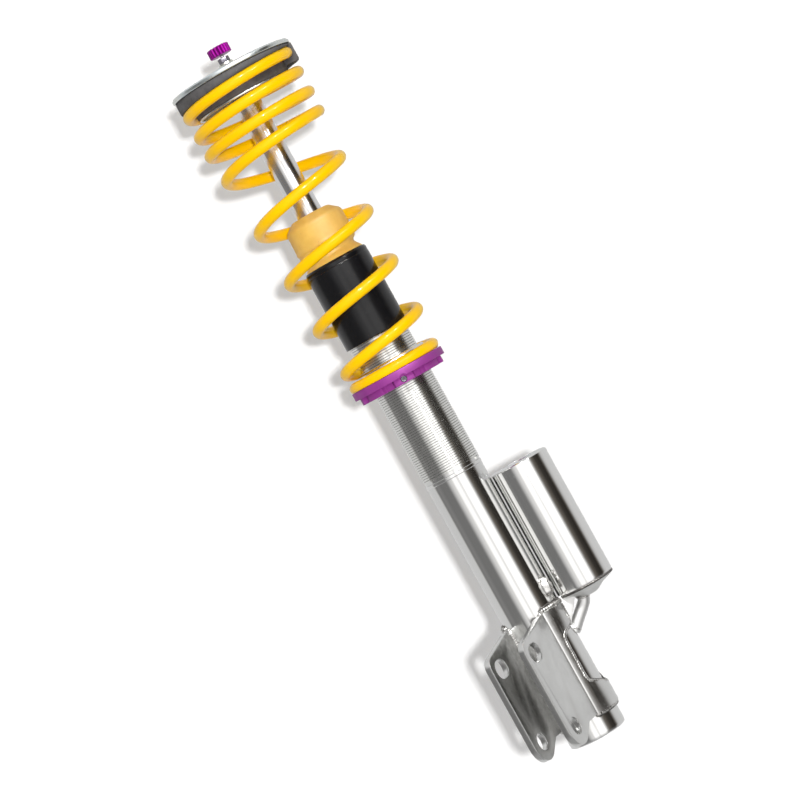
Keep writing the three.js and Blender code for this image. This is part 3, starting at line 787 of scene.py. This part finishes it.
def socket_screw():
    """A set screw seen on its cup end: a ring, a bevel, and a hexagon socket let in."""
    bm = bmesh.new()
    bmesh.ops.create_circle(bm, cap_ends=True, segments=36, radius=2.5 * MM)
    cap = push_out(bm, bm.faces[:], (0, 0, 9.6))
    bmesh.ops.inset_region(bm, faces=cap, thickness=0.35 * MM, depth=0.3 * MM)
    bmesh.ops.inset_region(bm, faces=cap, thickness=0.75 * MM, depth=-0.12 * MM)
    for v in {v for f in cap for v in f.verts}:
        angle = math.atan2(v.co.y, v.co.x)
        flat = (angle + math.pi / 6) % (math.pi / 3) - math.pi / 6
        v.co.xy = Vector((math.cos(angle), math.sin(angle))) * 1.27 * MM / math.cos(flat)
    push_out(bm, cap, (0, 0, -2.4))
    bmesh.ops.delete(bm, geom=[f for f in cap if f.is_valid], context="FACES_ONLY")
    bmesh.ops.recalc_face_normals(bm, faces=bm.faces[:])
    return lay_across(bm, 26.6, SCREW_Z)


piece(socket_screw(), "collar_lock_screw", "collar", dark_plate, ["set_screw"])

ring_profile = [(25.35, 334.5), (30.0, 334.5), (30.0, 342.6), (29.0, 344.4), (26.0, 344.4),
                (25.35, 343.6)]
piece(turned(ring_profile, 128, 0.25), "spring_centring_ring", "perch",
      chrome_plate, ["centring_ring"])

# ---- Coil spring ----
# Cold-wound spring wire, shot-peened and powder coated in gloss yellow. Three close turns
# lie on top, wide turns below them, and the closed last turn is ground flat for its seat.
WIRE_R = 4.7
SEAT_Z = 334.5
# turns wound from the top, coil radius, height of the wire's centre
COIL = [
    (0.02, 47.4, 598.0), (1, 47.4, 580.8), (2, 47.4, 562.9), (3, 46.8, 545.8), (3.5, 45.4, 530.6),
    (4, 44.0, 505.6), (5, 42.2, 457.4), (6, 40.4, 412.9), (7, 38.7, 369.3), (7.6, 36.6, 347.0),
    (8, 35.8, 338.9), (8.6, 35.8, 336.9),
]


def coil_value(turns, column):
    """Reads a smooth curve through the coil's stations."""
    last = len(COIL) - 1
    i = max(k for k in range(last) if k == 0 or turns >= COIL[k][0])
    def slope(k):
        low, high = COIL[max(k - 1, 0)], COIL[min(k + 1, last)]
        return (high[column] - low[column]) / (high[0] - low[0])
    width = COIL[i + 1][0] - COIL[i][0]
    s = (turns - COIL[i][0]) / width
    rise = COIL[i + 1][column] - COIL[i][column]
    a = slope(i) * width - rise
    b = rise - slope(i + 1) * width
    return COIL[i][column] + s * rise + s * (1 - s) * (a * (1 - s) + b * s)


def coil_point(turns):
    """The wire's centre, so many turns down from the top."""
    return polar(coil_value(turns, 1), SIDE - 2 * math.pi * turns, coil_value(turns, 2))


def wound_wire(points_per_turn=72):
    """The wire along its coil, blunt at the top, ground flat where it sits on the perch."""
    first, last = COIL[0][0], COIL[-1][0]
    count = int((last - first) * points_per_turn)
    route = [coil_point(first + (last - first) * i / count) for i in range(count + 1)]
    radii = [WIRE_R] * len(route)
    radii[0] = WIRE_R - 1.1
    radii[-1] = WIRE_R - 1.1
    route[0] = route[1].lerp(route[0], 0.45)
    route.insert(1, route[0].lerp(route[1], 0.25))
    radii.insert(1, WIRE_R - 0.35)
    bm = along("wire", route, radii, 20)
    bmesh.ops.bisect_plane(bm, geom=bm.verts[:] + bm.edges[:] + bm.faces[:], dist=1e-7,
                           plane_co=(0, 0, SEAT_Z * MM), plane_no=(0, 0, -1), clear_outer=True)
    bmesh.ops.holes_fill(bm, edges=[e for e in bm.edges if e.is_boundary], sides=0)
    bmesh.ops.recalc_face_normals(bm, faces=bm.faces[:])
    return bm


def powder_coat():
    """Gloss powder coat on peened wire: slight orange peel and dust nibs."""
    material, tree, main = finish("yellow powder coat", (1.0, 0.57, 0.0), 0.0, 0.25)
    peel = noise(tree, 520.0, 2.0)
    marks = effect(tree, TOOL_MARKS, Across=90.0, Along=90.0)
    touch = effect(tree, HANDLING, Size=34.0)
    colour = layered(tree, (1.0, 0.60, 0.0), (marks["Tone"], 1, (0.98, 0.56, 0.0)),
                     (touch["Smudge"], 0.25, (0.92, 0.50, 0.0)),
                     (touch["Speck"], 0.5, (0.6, 0.33, 0.02)))
    for key, value in (("Coat Weight", 0.5), ("Coat Roughness", 0.07), ("Coat IOR", 1.3),
                       ("IOR", 1.3), ("Specular IOR Level", 0.15)):
        main.inputs[key].default_value = value
    rough = weighted(tree, 0.24, (touch["Smudge"], 0.1), (peel, 0.06))
    dress(tree, main, colour, rough, weighted(tree, 0.0, (peel, 1.0), (touch["Speck"], 0.8)), 0.08, 0.05)
    return material


spring_yellow = powder_coat()
spring = piece(wound_wire(), "suspension_spring", "perch", spring_yellow,
               ["coil_spring"], sharp=50)
spring_length = coil_value(COIL[0][0], 2) + WIRE_R - SEAT_Z
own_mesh(spring)

# ---- Bump stop and dust sleeve ----
# A block of microcellular polyurethane with a moulded skin sits on the gland nut and holds
# a black plastic sleeve, which hangs over the threaded tube and keeps dirt off the rod.


def moulded_foam():
    """Tan polyurethane: tiny cells, a smoother mottled skin, and painted shade in its grooves."""
    material, tree, main = finish("tan foam", (0.80, 0.48, 0.17), 0.0, 0.55)
    cells = place(tree, "ShaderNodeTexVoronoi", {"Vector": object_space(tree), "Scale": 1300.0})
    mottle = noise(tree, 110.0, 4.0)
    touch = effect(tree, HANDLING, Size=50.0)
    wear_and_shade = effect(tree, EDGE_WEAR_AND_SHADE, Reach=0.12)
    # the third layer is painted shade: a deep brown in the grooves
    colour = layered(tree, (0.77, 0.49, 0.10), (spread(tree, mottle, 0.35, 0.65), 1, (0.71, 0.43, 0.08)),
                     (wear_and_shade["Crevice Shade"], 0.6, (0.50, 0.24, 0.06)), (touch["Speck"], 0.5, (0.40, 0.22, 0.08)))
    height = weighted(tree, 0.0, (cells.outputs["Distance"], 0.7), (mottle, 0.6))
    dress(tree, main, colour, weighted(tree, 0.42, (mottle, 0.22)), height, 0.25, 0.12)
    main.inputs["Subsurface Weight"].default_value = 0.05
    main.inputs["Subsurface Scale"].default_value = 0.004
    return material


bump_profile = [
    (11.6, 426), (24.4, 426), (25.1, 428), (25.1, 435.6), (24.4, 437.0), (22.0, 439.6), (21.0, 441.8),
    (21.6, 443.6), (24.0, 445.4), (24.5, 447.0), (24.4, 449.6), (25.3, 450.8), (25.3, 452.0),
    (24.9, 453.6), (24.6, 469.0), (23.4, 471.2), (16.8, 476.4), (15.6, 476.8), (12.4, 476.8),
    (11.6, 476.0),
]
bump_block = piece(turned(bump_profile, 96, 0.5), "foam_bump_stop", "bump_unit",
                   moulded_foam(), ["bump_stop"], sharp=60)


def sleeve_plastic():
    """Blow-moulded black plastic: satin, with faint lines drawn down it and light scuffs."""
    material, tree, main = finish("black sleeve plastic", (0.008, 0.008, 0.009), 0.0, 0.3)
    lines = effect(tree, TOOL_MARKS, Across=420.0, Along=7.0)
    touch = effect(tree, HANDLING, Size=32.0)
    wear_and_shade = effect(tree, EDGE_WEAR_AND_SHADE, Reach=0.08)
    colour = layered(tree, (0.0015, 0.0015, 0.002), (lines["Tone"], 1, (0.003, 0.003, 0.004)),
                     (touch["Smudge"], 0.35, (0.006, 0.006, 0.007)),
                     (wear_and_shade["Edge"], 0.5, (0.05, 0.05, 0.055)))
    main.inputs["Specular IOR Level"].default_value = 0.4
    rough = weighted(tree, 0.14, (lines["Mark"], 0.04), (touch["Smudge"], 0.08), (touch["Speck"], 0.2))
    dress(tree, main, colour, rough, lines["Mark"], 0.12, 0.04)
    return material


sleeve_profile = [
    (25.6, 366.2), (26.0, 366.0), (27.1, 366.0), (27.3, 366.6), (27.3, 429.8), (27.0, 430.3),
    (27.2, 430.9), (27.2, 433.4), (26.6, 434.8), (26.1, 435.2), (25.6, 435.2),
]
piece(turned(sleeve_profile, 128, 0.12), "dust_boot", "bump_unit",
      sleeve_plastic(), ["dust_sleeve"], sharp=45)

# ---- Upper seat ----
# A pressed, zinc-plated plate with a raised neck carries the spring through a thick rubber
# isolator. The isolator's underside follows the first turn and ends in a stop for the
# wire's end; a plated cup lines its hub.
PLATE_R = 52.8
PLATE_TOP = 608.5
PLATE_FOOT = 604.6
HUB_R = 41.5
HUB_FOOT = 584.5
ISOLATOR_R = 51.5
STOP_R = 53.4
ISOLATOR_FOOT = 589.0
ISOLATOR_TOP = 604.2


def zinc_plate():
    """Bright zinc with a clear passivate: bluish and straw tints, fine press lines, pale edges."""
    material, tree, main = finish("bright zinc", (0.70, 0.75, 0.75), 1.0, 0.24)
    film = noise(tree, 22.0)
    marks = effect(tree, TOOL_MARKS, Across=40.0, Along=500.0)
    touch = effect(tree, HANDLING, Size=40.0)
    wear_and_shade = effect(tree, EDGE_WEAR_AND_SHADE, Reach=0.08)
    colour = layered(tree, (0.68, 0.76, 0.77), (spread(tree, film, 0.42, 0.6), 1, (0.78, 0.77, 0.66)),
                     (marks["Tone"], 0.3, (0.82, 0.85, 0.86)), (wear_and_shade["Edge"], 1, (0.88, 0.90, 0.90)))
    rough = weighted(tree, 0.16, (marks["Mark"], 0.08), (touch["Smudge"], 0.14))
    dress(tree, main, colour, rough, marks["Mark"], 0.15, 0.03)
    return material


bright_zinc = zinc_plate()
plate_profile = [
    (5.4, 608.4), (5.4, 615.2), (6.0, 615.2), (6.2, 613.8), (6.7, 613.0), (8.6, 612.2), (14.0, 611.2),
    (24.0, 610.2), (38.0, PLATE_TOP), (PLATE_R - 1.2, PLATE_TOP), (PLATE_R, PLATE_TOP - 1.2),
    (PLATE_R, PLATE_FOOT + 0.6), (PLATE_R - 0.6, PLATE_FOOT), (36.0, PLATE_FOOT), (22.0, 606.4),
    (12.0, 607.6), (6.2, 607.6),
]
piece(turned(plate_profile, 144, 0.2), "spring_plate", "upper_seat", bright_zinc,
      ["upper_plate"])

cup_profile = [
    (38.4, 583.0), (39.0, 582.4), (40.1, 582.4), (40.6, 582.9), (40.6, 584.1), (40.0, 584.2),
    (40.0, ISOLATOR_TOP), (38.4, ISOLATOR_TOP),
]
piece(turned(cup_profile, 128, 0.15), "isolator_cup", "upper_seat", bright_zinc, ["inner_cup"])


def isolator_ring():
    """Sections all round the ring, closed into one body: the flange's foot lies on the wire."""
    stop_from, stop_rise, stop_to = 0.952, 0.012, 1.01
    wire_end = 0.985
    sunk = 0.6
    stations = [0.02 + 0.9605 * i / 118 for i in range(119)]
    stations += [0.9835, 0.989, 0.998, 1.008, 1.0155, 1.018]
    bm = bmesh.new()
    loops = []
    for turns in stations:
        stop = min(max((turns - stop_from) / stop_rise, 0.0), 1.0) if turns < stop_to else 1.0
        wire_top = coil_value(max(min(turns, 1.0), COIL[0][0]), 2) + WIRE_R - sunk
        under = max(wire_top, ISOLATOR_FOOT) if turns < wire_end else ISOLATOR_FOOT
        outer = ISOLATOR_R + (STOP_R - ISOLATOR_R) * stop
        lip = min(1.6, (ISOLATOR_TOP - under) / 2)
        turn = SIDE - 2 * math.pi * turns
        section = [
            (HUB_R - 1.3, ISOLATOR_TOP), (outer - 0.6, ISOLATOR_TOP), (outer, ISOLATOR_TOP - 0.6),
            (outer, under + lip), (outer - 0.5, under + 0.5), (outer - 1.6, under),
            (44.2, under + 0.4), (HUB_R + 0.6, under - 0.2), (HUB_R, under - 1.4),
            (HUB_R, HUB_FOOT + 0.5), (HUB_R - 0.5, HUB_FOOT), (HUB_R - 1.3, HUB_FOOT),
        ]
        loops.append([bm.verts.new(polar(r, turn, z)) for r, z in section])
    for here, there in zip(loops, loops[1:] + loops[:1]):
        for i in range(len(here)):
            j = (i + 1) % len(here)
            bm.faces.new((here[i], there[i], there[j], here[j]))
    bmesh.ops.recalc_face_normals(bm, faces=bm.faces[:])
    return bm


def isolator_rubber():
    """Dark moulded rubber: a chalky bloom in patches, scuffs along its rim, a coarse grain."""
    material, tree, main = finish("isolator rubber", (0.05, 0.047, 0.05), 0.0, 0.7)
    bloom = noise(tree, 75.0, 5.0, 0.65)
    grain = noise(tree, 1500.0, 2.0)
    touch = effect(tree, HANDLING, Size=45.0)
    wear_and_shade = effect(tree, EDGE_WEAR_AND_SHADE, Reach=0.1)
    colour = layered(tree, (0.036, 0.034, 0.036),
                     (spread(tree, bloom, 0.42, 0.72), 1, (0.085, 0.08, 0.083)),
                     (wear_and_shade["Edge"], 0.5, (0.19, 0.18, 0.17)), (touch["Speck"], 0.5, (0.28, 0.27, 0.26)))
    height = weighted(tree, 0.0, (grain, 0.6), (bloom, 0.6))
    dress(tree, main, colour, weighted(tree, 0.62, (bloom, 0.22)), height, 0.35, 0.15)
    return material


piece(isolator_ring(), "rubber_isolator", "upper_seat", isolator_rubber(),
      ["spring_isolator"], sharp=45)

# ---- Piston rod ----
# Hard-chromed steel, ground and polished to a mirror. A shoulder carries the plate, and
# the rod's tip ends in a small hexagon that holds it while the mount's nut is tightened.
ROD_R = 10.9


def hard_chrome():
    """Polished chrome: nearly a mirror, with hair lines round it and a thin film of oil."""
    material, tree, main = finish("hard chrome", (0.82, 0.82, 0.83), 1.0, 0.06)
    lines = effect(tree, TOOL_MARKS, Across=500.0, Along=6.0)
    touch = effect(tree, HANDLING, Size=45.0)
    colour = layered(tree, (0.86, 0.86, 0.86), (touch["Smudge"], 0.5, (0.74, 0.74, 0.73)))
    rough = weighted(tree, 0.13, (lines["Mark"], 0.02), (touch["Smudge"], 0.03), (touch["Speck"], 0.1))
    main.inputs["Anisotropic"].default_value = 0.95
    main.inputs["Anisotropic Rotation"].default_value = 0.25
    dress(tree, main, colour, rough, lines["Mark"], 0.05, 0.005)
    return material


rod_profile = [
    (2.2, 306), (6, 306), (6, 344), (ROD_R - 0.5, 344), (ROD_R, 344.8), (ROD_R, 602.4),
    (ROD_R - 0.6, 603.0), (8.2, 604.6), (5.0, 605.0), (5.0, 615.0), (4.6, 615.4), (2.2, 615.4),
]
piece(turned(rod_profile, 96, 0.12), "damper_rod", "rod", hard_chrome(), ["piston_rod"])


def hexagon_tip():
    """A short hexagon with both ends chamfered, on top of the rod."""
    half_width = 4.9 * MM
    bm = bmesh.new()
    bmesh.ops.create_cone(bm, cap_ends=True, segments=6, radius1=half_width, radius2=half_width,
                          depth=4.1 * MM)
    turn = Matrix.Translation((0, 0, 617.55 * MM)) @ Matrix.Rotation(math.radians(-62), 4, "Z")
    bmesh.ops.transform(bm, matrix=turn, verts=bm.verts[:])
    ease_edges(bm, 0.4, 40, 3)
    return bm


tip = piece(hexagon_tip(), "rod_tip_hexagon", "rod", dark_plate, ["adjuster_hexagon"])
# the adjuster's stem comes up through it
cut_away(tip, turned([(0, 612), (1.9, 612), (1.9, 622), (0, 622)], 32))

# ---- Rebound adjuster ----
# A needle runs down the bored rod to the piston. A fluted aluminium knob, anodised in a
# bright magenta, turns it by hand from above.
KNOB_R = 9.4
KNOB_FOOT = 621.8
KNOB_TOP = 629.4
FLUTES = 16

stem_profile = [(0, 309), (0.4, 309), (1.6, 316), (1.6, 621.4), (1.2, 621.75), (0, 621.75)]
piece(turned(stem_profile, 32), "adjuster_stem", "adjuster", chrome_plate,
      ["adjuster_needle"])


def fluted_knob():
    """A disc with scalloped grips round it, eased edges and a shallow dish on top."""
    bm = bmesh.new()
    bmesh.ops.create_circle(bm, cap_ends=True, segments=FLUTES * 10, radius=KNOB_R * MM)
    for v in bm.verts:
        angle = math.atan2(v.co.y, v.co.x)
        grip = abs(math.sin(FLUTES * angle / 2)) ** 0.8
        v.co.xy *= 1 - 0.105 * (1 - grip)
    bmesh.ops.translate(bm, verts=bm.verts[:], vec=(0, 0, (KNOB_FOOT + 0.5) * MM))
    cap = push_out(bm, bm.faces[:], (0, 0, KNOB_TOP - KNOB_FOOT - 1.0))
    bmesh.ops.recalc_face_normals(bm, faces=bm.faces[:])
    under = [f for f in bm.faces if f.normal.z < -0.9]
    for faces, inward, outward in ((under, 0.5, 0.5), (cap, 0.5, 0.5), (cap, 1.8, 0), (cap, 0.4, -0.5)):
        bmesh.ops.inset_region(bm, faces=faces, thickness=inward * MM, depth=outward * MM)
    return bm


magenta = anodised("magenta anodising", (0.34, 0.0, 0.30), (0.20, 0.0, 0.17), 0.24, 0.75)
piece(fluted_knob(), "rebound_knob", "adjuster", magenta, ["adjuster_knob"],
      sharp=40)

# ---- Studio ----
# A pale sheet behind the strut, soft white panels round it as a wide even sky, and three
# lamps: two narrow ones for the paint's highlights and one that casts the soft shadow.
VIEW_TURN = math.radians(28)
LOOK = Vector((-math.sin(VIEW_TURN), math.cos(VIEW_TURN), 0))
RIGHT = Vector((math.cos(VIEW_TURN), math.sin(VIEW_TURN), 0))
UP = Vector((0, 0, 1))
DISTANCE = 2.6
FRAME_HALF = 0.32
CAMERA_HEIGHT = 0.352
AIM_HEIGHT = 0.312
LEAN = math.radians(29.05)

camera_data = bpy.data.cameras.new("camera")
camera_data.sensor_width = 36
camera_data.lens_unit = "FOV"
camera_data.angle = 2 * math.atan(FRAME_HALF / DISTANCE)
camera_data.clip_end = 20
camera = into_scene("camera", camera_data)
centre = -RIGHT * 0.0089
spot = centre + UP * CAMERA_HEIGHT - LOOK * DISTANCE
facing = (centre + UP * AIM_HEIGHT - spot).to_track_quat("-Z", "Y").to_matrix().to_4x4()
camera.matrix_world = Matrix.Translation(spot) @ facing @ Matrix.Rotation(-LEAN, 4, "Z")
bpy.context.scene.camera = camera

sheet_material = bpy.data.materials.new("pale studio floor")
sheet_material.use_nodes = True
sheet_tree = sheet_material.node_tree
sheet_tree.nodes.clear()
paper = place(sheet_tree, "ShaderNodeBsdfDiffuse", {"Color": (0.9, 0.9, 0.9, 1)})
mirrored = place(sheet_tree, "ShaderNodeEmission", {"Color": (1, 1, 1, 1), "Strength": 0.66})
clear = place(sheet_tree, "ShaderNodeBsdfTransparent")
path = place(sheet_tree, "ShaderNodeLightPath")
side = place(sheet_tree, "ShaderNodeNewGeometry")
seen = place(sheet_tree, "ShaderNodeMixShader",
             {0: path.outputs["Is Glossy Ray"], 1: paper.outputs[0], 2: mirrored.outputs[0]})
one_sided = place(sheet_tree, "ShaderNodeMixShader",
                  {0: side.outputs["Backfacing"], 1: seen.outputs[0], 2: clear.outputs[0]})
place(sheet_tree, "ShaderNodeOutputMaterial", {"Surface": one_sided.outputs[0]})

floor_bm = bmesh.new()
bmesh.ops.create_grid(floor_bm, x_segments=1, y_segments=1, size=1.0)
upright = Matrix((RIGHT, UP, -LOOK)).transposed().to_4x4()
behind = Matrix.Translation(LOOK * 0.25 + UP * 0.31)
bmesh.ops.transform(floor_bm, matrix=behind @ upright, verts=floor_bm.verts[:])
floor = into_scene("studio_floor", mesh_of(floor_bm, "studio_floor"))
floor.data.materials.append(sheet_material)


def lamp(name, turn, rise, distance, width, height, watts):
    """An area lamp, turned by degrees to the right of the camera and raised, facing the strut."""
    data = bpy.data.lights.new(name, "AREA")
    data.shape = "RECTANGLE"
    data.size = width
    data.size_y = height
    data.energy = watts
    turn, rise = math.radians(turn), math.radians(rise)
    away = (-LOOK * math.cos(turn) + RIGHT * math.sin(turn)) * math.cos(rise) + UP * math.sin(rise)
    made = into_scene(name, data)
    aimed = (-away).to_track_quat("-Z", "Y").to_matrix().to_4x4()
    made.matrix_world = Matrix.Translation(UP * 0.32 + away * distance) @ aimed
    return made


for turn, watts in ((12, 60), (38, 45)):
    highlight = lamp("highlight_lamp", turn, 34, 2.4, 0.2, 0.1, watts)
    highlight.visible_diffuse = False
shadow_lamp = lamp("shadow_lamp", 2.5, 0.5, 4.0, 0.1, 0.1, 105)
shadow_lamp.visible_glossy = False

world = bpy.data.worlds.new("studio")
bpy.context.scene.world = world
world.use_nodes = True
sky = world.node_tree
sky.nodes.clear()
direction = place(sky, "ShaderNodeTexCoord").outputs["Generated"]
to_camera = place(sky, "ShaderNodeVectorMath", {0: direction, 1: -LOOK}, operation="DOT_PRODUCT")
to_right = place(sky, "ShaderNodeVectorMath", {0: direction, 1: RIGHT}, operation="DOT_PRODUCT")
turned_by = maths(sky, "ARCTAN2", to_right.outputs["Value"], to_camera.outputs["Value"])
panels = place(sky, "ShaderNodeValToRGB", {"Fac": spread(sky, turned_by, -math.pi, math.pi)})
ramp = panels.color_ramp
ramp.interpolation = "LINEAR"
# angle to the right of the camera, and the brightness there
STUDIO = [
    (-180, 0.58), (-104, 0.54), (-95, 0.16), (-84, 0.2), (-70, 0.155), (-42, 0.16), (-33, 0.45),
    (-27, 0.62), (-19, 0.7), (-15, 1.08), (-1, 1.08), (2, 0.77), (6, 0.77), (9, 1.1), (33, 1.1),
    (37, 0.7), (41, 0.3), (46, 0.13), (52, 0.08), (62, 0.035), (78, 0.02), (85, 0.08), (91, 0.3),
    (98, 0.5), (180, 0.58),
]
ramp.elements[0].position = 0.0
ramp.elements[1].position = 1.0
for degree, level in STUDIO[1:-1]:
    ramp.elements.new((degree + 180) / 360)
for stop, (degree, level) in zip(ramp.elements, STUDIO):
    warmth = 0.25 if 44 < degree < 90 else 0.02
    stop.color = (level, level * (1 - warmth / 2), level * (1 - warmth), 1)
height = place(sky, "ShaderNodeSeparateXYZ", {0: direction}).outputs["Z"]
soft_sky = layered(sky, panels.outputs["Color"], (spread(sky, height, 0.4, 0.75), 1, (0.6, 0.6, 0.6)),
                   (spread(sky, height, -0.4, -0.75), 1, (0.3, 0.3, 0.3)))
studio_light = place(sky, "ShaderNodeBackground", {"Color": soft_sky, "Strength": 1.2})
plain_white = place(sky, "ShaderNodeBackground", {"Color": (1, 1, 1, 1), "Strength": 1.05})
sky_path = place(sky, "ShaderNodeLightPath")
sky_mix = place(sky, "ShaderNodeMixShader", {
    0: sky_path.outputs["Is Camera Ray"], 1: studio_light.outputs[0], 2: plain_white.outputs[0]})
place(sky, "ShaderNodeOutputWorld", {"Surface": sky_mix.outputs[0]})
bpy.context.scene.view_settings.view_transform = "Standard"
